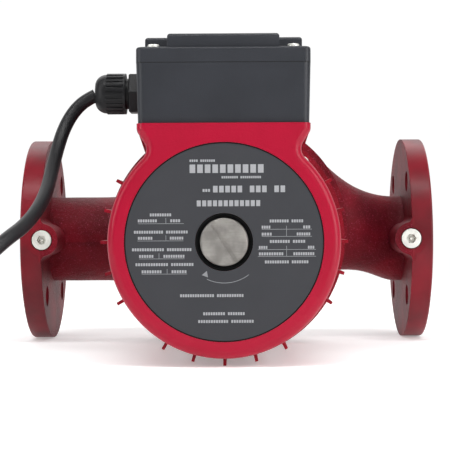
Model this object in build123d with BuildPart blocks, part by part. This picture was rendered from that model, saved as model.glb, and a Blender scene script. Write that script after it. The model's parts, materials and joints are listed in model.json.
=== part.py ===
from build123d import *
import math
import os

# A flanged, wet-rotor inline circulator pump with its mains cable. Millimetres.
# X runs along the pipe from the inlet to the outlet, Z is up and the motor points along -Y.
# The origin is where the pipe's axis crosses the motor's axis. Depths are Y values.

os.makedirs("parts", exist_ok=True)

# Pipe connection: nominal size 50, pressure class 6
face_to_face = 280.0
flange_d = 140.0
flange_t = 14.0
raised_d = 90.0
raised_t = 2.5
port_d = 50.0
pipe_d = 59.5
bolt_circle_d = 110.0
bolt_hole_d = 14.0
bolt_count = 4
rim_round = 1.5
ridge_w = 5.6
ridge_t = 0.9
ridge_low = -2.0
ridge_from = 118.0

# Gauge bosses and their screw plugs
boss_r = 10.8
boss_overlap = 0.6
boss_back = -20.0
boss_proud = 0.3
boss_web_w = 2.0
boss_blend = 4.0
gauge_thread_r = 6.0
gauge_head_wall = 0.5
gauge_well_gap = 0.6
gauge_well_depth = 3.0
gauge_plug_length = 12.0
gauge_seal_t = 0.8
gauge_tapping_r = 3.0

# Volute: an eccentric circle is widest where the outlet leaves it
volute_r = 75.0
volute_shift = 6.0
volute_wall = 9.0
volute_back = -14.0
suction_r = 42.0
suction_wall = 10.0
suction_back = 42.0
partition_front = -22.0
partition_back = -3.0
chamber_front = -48.0
eye_r = 20.0

# Joint between the casing and the motor
joint_y = -60.0
joint_r = 78.6
joint_t = 10.0
joint_bolt_circle_r = 70.5
joint_bolt_r = 3.0
joint_bolt_head_r = 5.0
joint_bolt_head_t = 6.0
joint_bolt_grip = 14.0
joint_lug_r = 7.0
seat_r = 66.0
seat_depth = 6.0
chamber_mouth_r = 62.0
seal_t = 1.0

# Motor housing
cover_face = -215.0
cover_t = 10.0
cover_r = 65.5
cover_round = 5.0
ear_corner = 5.4
neck_round = 7.0
cover_gasket_t = 0.8
ear_w = 48.8
ear_top = 66.5
ear_z = 62.3
neck_w = 42.4
pedestal_neck_w = 45.4
neck_z = 52.3
ear_foot = 14.0
body_r = 64.0
body_wall = 6.0
fin_tip_r = 70.0
fin_t = 1.8
fin_step = 15
fin_angles = [a for a in range(150, 391, fin_step) if a not in (225, 315)]
fin_back = -72.0

# Nameplate and vent plug
plate_r = 55.6
plate_t = 0.6
plate_sink = 0.5
vent_well_r = 16.2
vent_disc_r = 13.2
vent_disc_t = 3.6
vent_stem_r = 7.9
vent_proud = 0.6
vent_slot_w = 2.3
vent_slot_deep = 1.6
vent_slot_lean = 32.0
vent_seal_t = 1.8
vent_sleeve_r = 13.6
cover_screw_circle_r = 49.0
cover_screw_r = 2.5
cover_screw_head_r = 4.4
cover_screw_head_t = 3.4
cover_screw_length = 16.0

# Rotor, can and bearings
shaft_r = 6.0
running = 0.05
bearing_wall = 6.0
can_r = 32.0
can_wall = 0.8
can_flange_r = 62.0
can_flange_t = 1.2
can_setback = 19.0
rotor_gap = 0.5
rotor_back = -97.0
rotor_overhang = 28.0
end_ring_t = 4.0
shaft_setback = 2.0
shaft_back = -14.0
front_bearing_setback = 6.0
front_bearing_length = 14.0
rear_bearing_back = -61.0
rear_bearing_front = -77.0
bearing_hub_wall = 5.0
plate_rim_t = 5.0
thrust_t = 1.2
thrust_gap = 0.3

# Stator
stator_back = -95.0
stator_setback = 26.0
stator_gap = 0.2
slot_count = 24
slot_w = 4.2
tooth_tip_t = 3.0
slot_depth = 11.0
winding_t = 14.0
winding_overhang = 7.0
slot_clear = 0.2

# Impeller
impeller_r = 46.0
impeller_front = -46.0
impeller_plate_t = 3.0
impeller_width = 20.0
impeller_hub_r = 11.0
vane_count = 6
vane_t = 2.6
eye_ring_r = 19.4
eye_ring_wall = 2.4
eye_ring_back = -8.0
wear_ring_r = 23.0
wear_gap = 0.4
wear_ring_length = 10.0
nut_wall = 3.5
nut_t = 6.0

# Terminal box
box_w = 98.0
box_setback = 2.0
box_back = -98.0
box_bottom = 66.8
box_seam = 100.4
lid_ledge = 109.4
lid_top = 117.3
box_wall = 2.5
box_corner = 4.0
box_draft = 1.5
lid_arm_w = 90.0
lid_arm_d = 108.0
lid_notch_w = 13.5
lid_notch_d = 17.0
lid_screw_x = 39.5
lid_screw_inset = 9.0
lid_screw_r = 1.7
lid_screw_head_r = 3.3
lid_screw_head_t = 2.2
lid_screw_length = 24.0
pillar_r = 4.2
box_seal_w = 1.2
box_seal_t = 1.0
wire_hole_r = 8.0
fixing_x = 33.0
fixing_inset = 24.0
fixing_r = 2.0
fixing_head_r = 3.8
fixing_head_t = 2.6
fixing_length = 11.0

# Cable gland on the inlet side of the box
gland_headroom = 2.1
gland_thread_r = 9.8
gland_wall = 1.6
gland_base_t = 8.0
gland_neck_in = 0.6
gland_neck_t = 1.9
gland_nut_wall = 2.4
gland_nut_t = 11.3
gland_dome_t = 7.1
gland_dome_wall = 1.9
gland_mouth_r = 5.6
gland_rib_count = 24
gland_bore_clear = 0.3
locknut_t = 4.5

# Mains cable and plug
cable_d = 8.0
cable_sag = 0.7
floor_z = -flange_d / 2
coil_x = -205.0
coil_y = -190.0
coil_r = 48.0
coil_turns_wide = 2
coil_turns_high = 2
tie_w = 5.0
tie_t = 1.0
plug_r = 18.0
plug_length = 38.0
plug_pin_r = 2.4
plug_pin_length = 19.0
plug_pin_pitch = 19.0
plug_pin_seat = 6.0

# Worked out from the sizes above
port_face = face_to_face / 2
rim_face = port_face - raised_t
flange_back = rim_face - flange_t
pipe_end = flange_back - 10
boss_x = flange_back - boss_overlap
boss_face = -flange_d / 2 - boss_proud
seat_y = joint_y + seat_depth
body_in_r = body_r - body_wall
cover_back = cover_face + cover_t
vent_face = cover_face - vent_proud
box_front = cover_face + box_setback
can_front = cover_face + can_setback
front_bearing_front = can_front + front_bearing_setback
front_bearing_back = front_bearing_front + front_bearing_length
shaft_front = front_bearing_front + shaft_setback
stator_front = can_front + stator_setback
rotor_front = can_front + rotor_overhang
bearing_r = shaft_r + bearing_wall
bearing_hub_r = bearing_r + bearing_hub_wall
slot_in_r = can_r + tooth_tip_t
slot_out_r = slot_in_r + slot_depth
winding_r = slot_out_r + winding_overhang
nut_af = 2 * (shaft_r + nut_wall)
gauge_head_r = gauge_thread_r + gauge_head_wall
gauge_well_r = gauge_head_r + gauge_well_gap
body_front = cover_back + cover_gasket_t
box_y = (box_front + box_back) / 2
gland_y = box_y
gland_z = box_seam - gland_thread_r - gland_headroom
box_d = box_back - box_front
coil_z = floor_z + coil_turns_high * cable_d / 2
gland_face = -box_w / 2
gland_af = 2 * (gland_thread_r + gland_wall)
gland_neck_r = gland_thread_r - gland_neck_in
gland_nut_r = gland_thread_r + gland_nut_wall
gland_dome_r = gland_thread_r + gland_dome_wall
gland_end = gland_face - gland_base_t - gland_neck_t - gland_nut_t - gland_dome_t
vent_back = vent_face + vent_disc_t
sleeve_front = vent_back + vent_seal_t
can_in_r = can_r - can_wall
eye_side = impeller_front + impeller_width
rotor_r = can_in_r - rotor_gap


def facing(depth):
    """The plane at a depth, seen from the front: right is +X, up is +Z, and it extrudes forwards."""
    return Plane(origin=(0, depth, 0), x_dir=(1, 0, 0), z_dir=(0, -1, 0))


def turn(*points, mode=Mode.ADD):
    """Sweeps a closed outline of (radius, depth) points about the motor's axis."""
    with BuildSketch(Plane.XY) as outline:
        Polygon(*points, align=None)
    revolve(outline.sketch, axis=Axis.Y, mode=mode)


def ring(inner, outer, back, front, mode=Mode.ADD):
    """A ring about the motor's axis, or a disc where inner is 0."""
    turn((inner, back), (outer, back), (outer, front), (inner, front), mode=mode)


def rod(x, z, radius, back, front, mode=Mode.ADD):
    """A round bar along the motor's axis at (x, z)."""
    with BuildSketch(facing(back)) as section:
        with Locations((x, z)):
            Circle(radius)
    extrude(section.sketch, amount=back - front, mode=mode)


def around(radius, angles):
    """The (x, z) places on a circle about the motor's axis."""
    return [(radius * math.cos(math.radians(a)), radius * math.sin(math.radians(a))) for a in angles]


def duct(sections, mode=Mode.ADD):
    """A duct along X through ellipses, each an (x, y, top, bottom, half depth)."""
    planes = []
    for x, y, top, bottom, half_depth in sections:
        with BuildSketch(Plane.YZ.offset(x)) as section:
            with Locations((y, (top + bottom) / 2)):
                Ellipse(half_depth, (top - bottom) / 2)
        planes.append(section.sketch)
    loft(planes, mode=mode)


def finish(piece, name):
    """Labels a piece and writes it as its own file."""
    piece.part.label = name
    export_step(piece.part, f"parts/{name}.step")


joint_places = around(joint_bolt_circle_r, (45, 135, 225, 315))
cover_screw_places = around(cover_screw_circle_r, (45, 135, 225, 315))
flange_angles = [45 + 360 / bolt_count * i for i in range(bolt_count)]

# ---------------------------------------------------------------- pump casing

pipe_r = pipe_d / 2
port_r = port_d / 2
inlet_shape = [
    (-flange_back - 2, 0, pipe_r, -pipe_r, pipe_r),
    (-pipe_end, 0, pipe_r, -pipe_r, pipe_r),
    (-90, 1.5, 29.8, -29.8, 31),
    (-72, 4, 30.6, -30.6, 33),
    (-48, 8, 36, -36, 34),
    (0, 9, 40, -40, 32),
]
inlet_way = [
    (-port_face - 1, 0, port_r, -port_r, port_r),
    (-pipe_end, 0, port_r, -port_r, port_r),
    (-90, 3, 24.6, -24.6, 23.5),
    (-62, 11, 26, -26, 20),
    (-14, 14, 28, -28, 17),
]
outlet_shape = [
    (52, -28, 65, -22, 21),
    (66, -24, 54, -22, 23),
    (82, -16, 40.8, -22.3, 26),
    (100, -6, 32.3, -25, 29),
    (pipe_end, 0, pipe_r, -pipe_r, pipe_r),
    (flange_back + 2, 0, pipe_r, -pipe_r, pipe_r),
]
outlet_way = [
    (48, -36, 50, -4, 11),
    (66, -26, 44, -12, 14),
    (82, -17, 32, -14.5, 17.5),
    (100, -6, 24.5, -18, 21.5),
    (pipe_end, 0, port_r, -port_r, port_r),
    (port_face + 1, 0, port_r, -port_r, port_r),
]

with BuildPart() as pump_casing:
    with BuildSketch(facing(volute_back)):
        with Locations((volute_shift, volute_shift)):
            Circle(volute_r)
    extrude(amount=volute_back - joint_y)
    back_rim = pump_casing.faces().sort_by(Axis.Y)[-1].edges()
    fillet(back_rim, 12)
    ring(0, suction_r, suction_back, joint_y)
    fillet(pump_casing.faces().sort_by(Axis.Y)[-1].edges(), 12)
    duct(inlet_shape)
    duct(outlet_shape)
    with BuildSketch(facing(joint_y + joint_t + 2)):
        Circle(joint_r)
        with Locations((0, floor_z)):
            Rectangle(2 * joint_r, 2 * joint_r, align=(Align.CENTER, Align.MAX), mode=Mode.SUBTRACT)
    extrude(amount=joint_t + 2)
    for x, z in joint_places:
        rod(x, z, joint_lug_r, joint_y + 24, joint_y)
    for side in (-1, 1):
        with BuildSketch(Plane.YZ.offset(side * flange_back)):
            Circle(flange_d / 2)
        extrude(amount=side * flange_t)
        rims = pump_casing.edges().filter_by(GeomType.CIRCLE).sort_by(Axis.X, reverse=side > 0)
        fillet(rims[0], rim_round)
        with BuildSketch(Plane.YZ.offset(side * rim_face)):
            Circle(raised_d / 2)
        extrude(amount=side * raised_t)
        with BuildSketch(facing(boss_back)) as boss:
            with Locations((side * boss_x, 0)):
                Circle(boss_r)
            with Locations((side * (flange_back + boss_web_w / 2), 0)):
                Rectangle(boss_web_w, 2 * (boss_r + boss_blend))
            near_back = boss.vertices().filter_by(lambda v: abs(abs(v.X) - flange_back) < 0.1)
            fillet(near_back.filter_by(lambda v: abs(v.Y) < boss_r), boss_blend)
        extrude(amount=boss_back - boss_face)
    # A casting ridge runs along the front of the inlet pipe
    with BuildSketch(Plane.XY.offset(ridge_low)):
        with Locations((-ridge_from, -pipe_r - ridge_t)):
            Rectangle(ridge_from - volute_r + volute_shift, 2 * pipe_r / 3, align=(Align.MIN, Align.MIN))
    extrude(amount=ridge_w)
    # Water ways
    duct(inlet_way, mode=Mode.SUBTRACT)
    ring(0, suction_r - suction_wall, suction_back - suction_wall, partition_back, mode=Mode.SUBTRACT)
    ring(0, eye_r, 0, partition_front, mode=Mode.SUBTRACT)
    ring(0, wear_ring_r, partition_front + wear_ring_length, partition_front, mode=Mode.SUBTRACT)
    with BuildSketch(facing(partition_front)):
        with Locations((volute_shift, volute_shift)):
            Circle(volute_r - volute_wall)
    extrude(amount=partition_front - chamber_front, mode=Mode.SUBTRACT)
    duct(outlet_way, mode=Mode.SUBTRACT)
    ring(0, chamber_mouth_r, chamber_front, seat_y, mode=Mode.SUBTRACT)
    ring(0, seat_r, seat_y, joint_y, mode=Mode.SUBTRACT)
    # Holes: flange bolts, joint bolts and gauge tappings
    for side in (-1, 1):
        with BuildSketch(Plane.YZ.offset(side * flange_back - side)):
            with PolarLocations(bolt_circle_d / 2, bolt_count, start_angle=45):
                Circle(bolt_hole_d / 2)
        extrude(amount=side * (flange_t + 2), mode=Mode.SUBTRACT)
        well_floor = boss_face + gauge_well_depth
        rod(side * boss_x, 0, gauge_well_r, well_floor, boss_face, mode=Mode.SUBTRACT)
        rod(side * boss_x, 0, gauge_thread_r, well_floor + 14, boss_face, mode=Mode.SUBTRACT)
        rod(side * boss_x, 0, gauge_tapping_r, boss_back, boss_face, mode=Mode.SUBTRACT)
    for x, z in joint_places:
        rod(x, z, joint_bolt_r, joint_y + joint_bolt_grip + 2, joint_y, mode=Mode.SUBTRACT)
finish(pump_casing, "pump_casing")

with BuildPart() as casing_wear_ring:
    ring(eye_ring_r + wear_gap, wear_ring_r, partition_front + wear_ring_length, partition_front)
finish(casing_wear_ring, "casing_wear_ring")

with BuildPart() as casing_gasket:
    ring(chamber_mouth_r + 0.5, seat_r - 0.2, seat_y, seat_y - seal_t)
finish(casing_gasket, "casing_gasket")

with BuildPart() as gauge_plugs:
    for x in (-boss_x, boss_x):
        head_back = boss_face + gauge_well_depth - gauge_seal_t
        rod(x, 0, gauge_head_r, head_back, boss_face + 0.2)
        rod(x, 0, gauge_thread_r, boss_face + gauge_plug_length, head_back)
        with BuildSketch(facing(boss_face)):
            with Locations((x, 0)):
                RegularPolygon(3.2, 6)
        extrude(amount=-5, mode=Mode.SUBTRACT)
        rod(x, 0, 1, boss_face + 5, boss_face + 1.5)
finish(gauge_plugs, "gauge_plugs")

with BuildPart() as gauge_plug_seals:
    for x in (-boss_x, boss_x):
        rod(x, 0, gauge_head_r, boss_face + gauge_well_depth, boss_face + gauge_well_depth - gauge_seal_t)
        rod(x, 0, gauge_thread_r, boss_face + gauge_well_depth + 1, boss_face, mode=Mode.SUBTRACT)
finish(gauge_plug_seals, "gauge_plug_seals")

# ---------------------------------------------------------------- motor housing

plate_rim_back = joint_y + plate_rim_t


def ears(neck=neck_w, inset=0.0):
    """The shoulders above the round motor, seen from the front, which carry the terminal box."""
    with BuildSketch() as shoulders:
        lean = (ear_w - neck) / (ear_z - neck_z)
        foot_z = neck_z - ear_foot
        foot_w = neck - ear_foot * lean
        right = [(foot_w - inset, foot_z), (ear_w - inset, ear_z), (ear_w - inset, ear_top - inset)]
        left = [(-x, z) for x, z in reversed(right)]
        Polygon(*right, *left, align=None)
    return shoulders.sketch


with BuildPart() as stator_housing:
    ring(body_in_r, body_r, joint_y, body_front)
    ring(body_in_r, joint_r, joint_y, joint_y - joint_t)
    with BuildSketch(facing(joint_y + 1)):
        with Locations((0, floor_z)):
            Rectangle(2 * joint_r, 2 * joint_r, align=(Align.CENTER, Align.MAX))
    extrude(amount=joint_t + 2, mode=Mode.SUBTRACT)
    # The pedestal under the terminal box follows the ears of the cover
    with BuildSketch(facing(box_back + 6)):
        add(ears(pedestal_neck_w, 0.4))
        Circle(body_in_r, mode=Mode.SUBTRACT)
    extrude(amount=box_back + 6 - body_front)
    for angle in fin_angles:
        with BuildSketch(facing(fin_back)) as fin:
            with Locations(Rotation(0, 0, angle)):
                with Locations((body_r - 1, 0)):
                    Rectangle(fin_tip_r - body_r + 1, fin_t, align=(Align.MIN, Align.CENTER))
        extrude(amount=fin_back - body_front)
    for x, z in cover_screw_places:
        rod(x, z, 5.5, body_front + 14, body_front)
        rod(x * 1.11, z * 1.11, 5.5, body_front + 14, body_front)
    ring(body_in_r, can_flange_r + 0.2, joint_y, joint_y - can_flange_t, mode=Mode.SUBTRACT)
    ring(body_in_r + 0.6, body_in_r + 3, joint_y, joint_y - can_flange_t - 1.6, mode=Mode.SUBTRACT)
    with BuildSketch(Plane.XY.offset(0)):
        with Locations((0, box_y)):
            Circle(wire_hole_r)
    extrude(amount=ear_top + 1, mode=Mode.SUBTRACT)
    for x, z in cover_screw_places:
        rod(x, z, cover_screw_r, body_front + 13, body_front, mode=Mode.SUBTRACT)
    for x, z in joint_places:
        rod(x, z, joint_bolt_r + 0.4, joint_y, joint_y - joint_t, mode=Mode.SUBTRACT)
    fixing_ys = (box_front + fixing_inset, box_back - fixing_inset)
    fixing_places = [(x, y) for x in (-fixing_x, fixing_x) for y in fixing_ys]
    with BuildSketch(Plane.XY.offset(ear_top + 1)):
        with Locations(*fixing_places):
            Circle(fixing_r)
    extrude(amount=-fixing_length, mode=Mode.SUBTRACT)
finish(stator_housing, "stator_housing")

with BuildPart() as motor_end_cover:
    with BuildSketch(facing(cover_back)) as outline:
        Circle(cover_r)
        add(ears())
        necks = outline.vertices().filter_by(lambda v: abs(v.Y - neck_z) < 4)
        fillet(necks, neck_round)
        corners = outline.vertices().filter_by(lambda v: abs(v.Y - ear_z) < 0.5)
        fillet(corners, ear_corner)
    extrude(amount=cover_t)
    face = motor_end_cover.faces().sort_by(Axis.Y)[0]
    fillet(face.edges().filter_by(lambda e: e.center().Z < ear_top - 0.1), cover_round)
    ring(0, plate_r + 0.2, cover_face + plate_sink + plate_t, cover_face, mode=Mode.SUBTRACT)
    ring(0, vent_well_r, cover_back, cover_face, mode=Mode.SUBTRACT)
    ring(vent_well_r + 4, body_in_r - 2, cover_back, cover_back - 2, mode=Mode.SUBTRACT)
    plate_floor = cover_face + plate_sink + plate_t
    for x, z in cover_screw_places:
        head_floor = plate_floor + cover_screw_head_t + 0.2
        rod(x, z, cover_screw_head_r + 0.4, head_floor, plate_floor, mode=Mode.SUBTRACT)
        rod(x, z, cover_screw_r + 0.3, cover_back, plate_floor, mode=Mode.SUBTRACT)
finish(motor_end_cover, "motor_end_cover")

with BuildPart() as cover_gasket:
    with BuildSketch(facing(body_front)):
        Circle(body_r - 0.6)
        Circle(body_in_r + 1.5, mode=Mode.SUBTRACT)
    extrude(amount=cover_gasket_t)
finish(cover_gasket, "cover_gasket")

with BuildPart() as cover_screws:
    head_back = plate_floor + cover_screw_head_t + 0.2
    for x, z in cover_screw_places:
        rod(x, z, cover_screw_head_r, head_back, head_back - cover_screw_head_t)
        rod(x, z, cover_screw_r, head_back - cover_screw_head_t + cover_screw_length, head_back)
        with BuildSketch(facing(head_back - cover_screw_head_t)):
            with Locations((x, z)):
                Rectangle(5, 1)
                Rectangle(1, 5)
        extrude(amount=-1.6, mode=Mode.SUBTRACT)
finish(cover_screws, "cover_screws")

with BuildPart() as nameplate:
    ring(vent_well_r, plate_r, plate_floor, plate_floor - plate_t)
finish(nameplate, "nameplate")

with BuildPart() as joint_bolts:
    for x, z in joint_places:
        head_back = joint_y - joint_t
        rod(x, z, joint_bolt_head_r, head_back, head_back - joint_bolt_head_t)
        rod(x, z, joint_bolt_r, joint_y + joint_bolt_grip, head_back)
        with BuildSketch(facing(head_back - joint_bolt_head_t)):
            with Locations((x, z)):
                RegularPolygon(2.9, 6)
        extrude(amount=-3, mode=Mode.SUBTRACT)
finish(joint_bolts, "joint_bolts")

# ---------------------------------------------------------------- can, bearings and stator

with BuildPart() as bearing_plate:
    turn(
        (shaft_r + 1, plate_rim_back),
        (seat_r - 0.2, plate_rim_back),
        (seat_r - 0.2, joint_y),
        (bearing_hub_r, joint_y),
        (bearing_hub_r, rear_bearing_front),
        (bearing_r, rear_bearing_front),
        (bearing_r, rear_bearing_back),
        (shaft_r + 1, rear_bearing_back),
    )
    with BuildSketch(facing(plate_rim_back)):
        with PolarLocations(24, 4):
            Circle(2.5)
    extrude(amount=plate_rim_t, mode=Mode.SUBTRACT)
finish(bearing_plate, "bearing_plate")

with BuildPart() as rear_bearing:
    ring(shaft_r + running, bearing_r, rear_bearing_back, rear_bearing_front)
finish(rear_bearing, "rear_bearing")

with BuildPart() as front_bearing:
    ring(shaft_r + running, bearing_r, front_bearing_back, front_bearing_front)
finish(front_bearing, "front_bearing")

with BuildPart() as rotor_can:
    turn(
        (can_in_r, joint_y),
        (can_flange_r, joint_y),
        (can_flange_r, joint_y - can_flange_t),
        (can_r, joint_y - can_flange_t),
        (can_r, can_front),
        (vent_sleeve_r, can_front),
        (vent_sleeve_r, sleeve_front),
        (vent_stem_r + running, sleeve_front),
        (vent_stem_r + running, front_bearing_front),
        (bearing_r, front_bearing_front),
        (bearing_r, front_bearing_back),
        (bearing_r + 3, front_bearing_back),
        (bearing_r + 3, can_front + 2),
        (can_in_r, can_front + 2),
    )
finish(rotor_can, "rotor_can")

with BuildPart() as can_o_ring:
    ring(body_in_r + 0.8, body_in_r + 2.8, joint_y - can_flange_t, joint_y - can_flange_t - 1.5)
finish(can_o_ring, "can_o_ring")

with BuildPart() as stator_core:
    ring(can_r + 0.1, body_in_r, stator_back, stator_front)
    with BuildSketch(facing(stator_back)):
        with PolarLocations(slot_in_r, slot_count):
            Rectangle(slot_out_r - slot_in_r, slot_w, align=(Align.MIN, Align.CENTER))
    extrude(amount=stator_back - stator_front, mode=Mode.SUBTRACT)
finish(stator_core, "stator_core")

with BuildPart() as stator_windings:
    bar_front = stator_front - stator_gap
    bar_back = stator_back + stator_gap
    with BuildSketch(facing(bar_back)):
        with PolarLocations(slot_in_r + slot_clear, slot_count):
            bar_l = slot_out_r - slot_in_r - 2 * slot_clear
            Rectangle(bar_l, slot_w - 2 * slot_clear, align=(Align.MIN, Align.CENTER))
    extrude(amount=bar_back - bar_front)
    for near in (bar_back + winding_t, bar_front):
        ring(slot_in_r, winding_r, near, near - winding_t)
        end = stator_windings.faces().sort_by(Axis.Y)[-1 if near > bar_back else 0]
        fillet(end.edges(), 4)
finish(stator_windings, "stator_windings")

# ---------------------------------------------------------------- rotor and impeller

with BuildPart() as shaft:
    ring(0, shaft_r, shaft_back, shaft_front)
    chamfer(shaft.faces().sort_by(Axis.Y)[0].edges(), 0.8)
finish(shaft, "shaft")

with BuildPart() as rotor_core:
    ring(shaft_r, rotor_r, rotor_back, rotor_front)
finish(rotor_core, "rotor_core")

with BuildPart() as rotor_end_rings:
    ring(shaft_r + 8, rotor_r - 2, rotor_back + end_ring_t, rotor_back)
    ring(shaft_r + 8, rotor_r - 2, rotor_front, rotor_front - end_ring_t)
finish(rotor_end_rings, "rotor_end_rings")

with BuildPart() as thrust_ring:
    thrust_back = rear_bearing_front - thrust_gap
    ring(shaft_r, bearing_r - 1, thrust_back, thrust_back - thrust_t)
finish(thrust_ring, "thrust_ring")

with BuildPart() as impeller:
    plate_front = impeller_front + impeller_plate_t
    shroud_back = eye_side - impeller_plate_t
    ring(shaft_r, impeller_r, plate_front, impeller_front)
    ring(shaft_r, impeller_hub_r, shroud_back, impeller_front)
    ring(eye_ring_r - eye_ring_wall, impeller_r, eye_side, shroud_back)
    ring(eye_ring_r - eye_ring_wall, eye_ring_r, eye_ring_back, shroud_back)
    for i in range(vane_count):
        with BuildSketch(facing(eye_side)) as vane:
            with BuildLine(Plane.XY.rotated((0, 0, 360 / vane_count * i))) as curve:
                ThreePointArc((impeller_hub_r - 1, 0), (27, 12), (impeller_r - 0.5, 4))
            trace(curve.line, line_width=vane_t)
        extrude(amount=eye_side - impeller_front)
    ring(0, eye_ring_r - eye_ring_wall, eye_ring_back, shroud_back, mode=Mode.SUBTRACT)
    ring(impeller_r, impeller_r + 6, eye_side + 1, impeller_front - 1, mode=Mode.SUBTRACT)
    ring(0, shaft_r, eye_side + 1, impeller_front - 1, mode=Mode.SUBTRACT)
finish(impeller, "impeller")

with BuildPart() as impeller_nut:
    with BuildSketch(facing(shroud_back + nut_t)):
        RegularPolygon(nut_af / 2, 6, major_radius=False)
        Circle(shaft_r, mode=Mode.SUBTRACT)
    extrude(amount=nut_t)
finish(impeller_nut, "impeller_nut")

with BuildPart() as vent_plug:
    ring(0, vent_disc_r, vent_back, vent_face)
    ring(0, vent_stem_r, sleeve_front + 13, vent_back)
    rim = vent_plug.faces().sort_by(Axis.Y)[0].edges()
    chamfer(rim, 0.5)
    with BuildSketch(facing(vent_face)):
        with Locations(Rotation(0, 0, vent_slot_lean)):
            Rectangle(vent_slot_w, 2 * vent_disc_r + 1)
    extrude(amount=-vent_slot_deep, mode=Mode.SUBTRACT)
finish(vent_plug, "vent_plug")

with BuildPart() as vent_plug_seal:
    ring(vent_stem_r + 0.3, vent_disc_r - 0.4, sleeve_front, vent_back)
finish(vent_plug_seal, "vent_plug_seal")

# ---------------------------------------------------------------- terminal box

base_h = box_seam - box_bottom
draft_in = base_h * math.tan(math.radians(box_draft))
interior_w = box_w - 2 * box_wall
interior_d = box_d - 2 * box_wall
screw_ys = (box_front + lid_screw_inset, box_back - lid_screw_inset)
screw_places = [(x, y) for x in (-lid_screw_x, lid_screw_x) for y in screw_ys]


with BuildPart() as terminal_box_base:
    with BuildSketch(Plane.XY.offset(box_bottom)):
        with Locations((0, box_y)):
            RectangleRounded(box_w - 2 * draft_in, box_d - 2 * draft_in, box_corner)
    extrude(amount=base_h, taper=-box_draft)
    with BuildSketch(Plane.XY.offset(box_bottom + box_wall)):
        with Locations((0, box_y)):
            RectangleRounded(interior_w - 2 * draft_in, interior_d - 2 * draft_in, box_corner - box_wall)
    extrude(amount=base_h, mode=Mode.SUBTRACT)
    with BuildSketch(Plane.XY.offset(box_bottom + box_wall)):
        with Locations(*screw_places):
            Circle(pillar_r)
    extrude(amount=base_h - box_wall)
    with BuildSketch(Plane.XY.offset(box_seam)):
        with Locations(*screw_places):
            Circle(lid_screw_r)
    extrude(amount=-lid_screw_length, mode=Mode.SUBTRACT)
    with BuildSketch(Plane.XY.offset(box_bottom)):
        with Locations((0, box_y)):
            Circle(wire_hole_r)
        with Locations(*fixing_places):
            Circle(fixing_r)
    extrude(amount=box_wall, mode=Mode.SUBTRACT)
    # A flat pad on the wall takes the gland square to X
    with BuildSketch(Plane.YZ.offset(gland_face)):
        with Locations((gland_y, gland_z)):
            Circle(gland_af / 2 - 0.4)
    extrude(amount=box_wall + 1)
    with BuildSketch(Plane.YZ.offset(gland_face - 1)):
        with Locations((gland_y, gland_z)):
            Circle(gland_thread_r)
    extrude(amount=box_wall + 4, mode=Mode.SUBTRACT)
finish(terminal_box_base, "terminal_box_base")

with BuildPart() as lid_gasket:
    with BuildSketch(Plane.XY.offset(box_seam)):
        with Locations((0, box_y)):
            RectangleRounded(interior_w + 2 * box_seal_w, interior_d + 2 * box_seal_w, box_corner - 1)
            RectangleRounded(interior_w, interior_d, box_corner - box_wall, mode=Mode.SUBTRACT)
    extrude(amount=box_seal_t)
finish(lid_gasket, "lid_gasket")

with BuildPart() as terminal_box_lid:
    with BuildSketch(Plane.XY.offset(box_seam)):
        with Locations((0, box_y)):
            RectangleRounded(box_w, box_d, box_corner)
    extrude(amount=lid_ledge - box_seam)
    fillet(terminal_box_lid.faces().sort_by(Axis.Z)[-1].edges(), 1.6)
    with BuildSketch(Plane.XY.offset(lid_ledge - 1)):
        with Locations((0, box_y)):
            Rectangle(lid_arm_w - 2 * lid_notch_w, lid_arm_d)
            Rectangle(lid_arm_w, lid_arm_d - 2 * lid_notch_d)
    extrude(amount=lid_top - lid_ledge + 1)
    fillet(terminal_box_lid.faces().sort_by(Axis.Z)[-1].edges(), 2)
    with BuildSketch(Plane.XY.offset(box_seam)):
        with Locations((0, box_y)):
            RectangleRounded(interior_w, interior_d, box_corner - box_wall)
        with Locations(*screw_places):
            Circle(pillar_r + 0.6, mode=Mode.SUBTRACT)
    extrude(amount=lid_ledge - box_seam - box_wall, mode=Mode.SUBTRACT)
    with BuildSketch(Plane.XY.offset(lid_ledge - box_wall - 1)):
        with Locations((0, box_y)):
            hollow_w = lid_arm_w - 2 * box_wall
            hollow_d = lid_arm_d - 2 * box_wall
            Rectangle(hollow_w - 2 * lid_notch_w, hollow_d)
            Rectangle(hollow_w, hollow_d - 2 * lid_notch_d)
    extrude(amount=lid_top - lid_ledge + 1, mode=Mode.SUBTRACT)
    with BuildSketch(Plane.XY.offset(box_seam)):
        with Locations((0, box_y)):
            groove_w = interior_w + 2 * box_seal_w + 0.2
            groove_d = interior_d + 2 * box_seal_w + 0.2
            RectangleRounded(groove_w, groove_d, box_corner - 1)
            RectangleRounded(interior_w - 0.2, interior_d - 0.2, box_corner - box_wall, mode=Mode.SUBTRACT)
    extrude(amount=box_seal_t, mode=Mode.SUBTRACT)
    with BuildSketch(Plane.XY.offset(lid_ledge)):
        with Locations(*screw_places):
            Circle(lid_screw_r + 0.2)
    extrude(amount=box_seam - lid_ledge, mode=Mode.SUBTRACT)
finish(terminal_box_lid, "terminal_box_lid")

with BuildPart() as lid_screws:
    with BuildSketch(Plane.XY.offset(lid_ledge)):
        with Locations(*screw_places):
            Circle(lid_screw_head_r)
    extrude(amount=lid_screw_head_t)
    tops = lid_screws.edges().group_by(Axis.Z)[-1]
    fillet(tops, 0.9)
    with BuildSketch(Plane.XY.offset(lid_ledge)):
        with Locations(*screw_places):
            Circle(lid_screw_r)
    extrude(amount=-lid_screw_length)
    with BuildSketch(Plane.XY.offset(lid_ledge + lid_screw_head_t)):
        with Locations(*screw_places):
            Rectangle(3.6, 0.9)
            Rectangle(0.9, 3.6)
    extrude(amount=-1.3, mode=Mode.SUBTRACT)
finish(lid_screws, "lid_screws")

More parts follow.
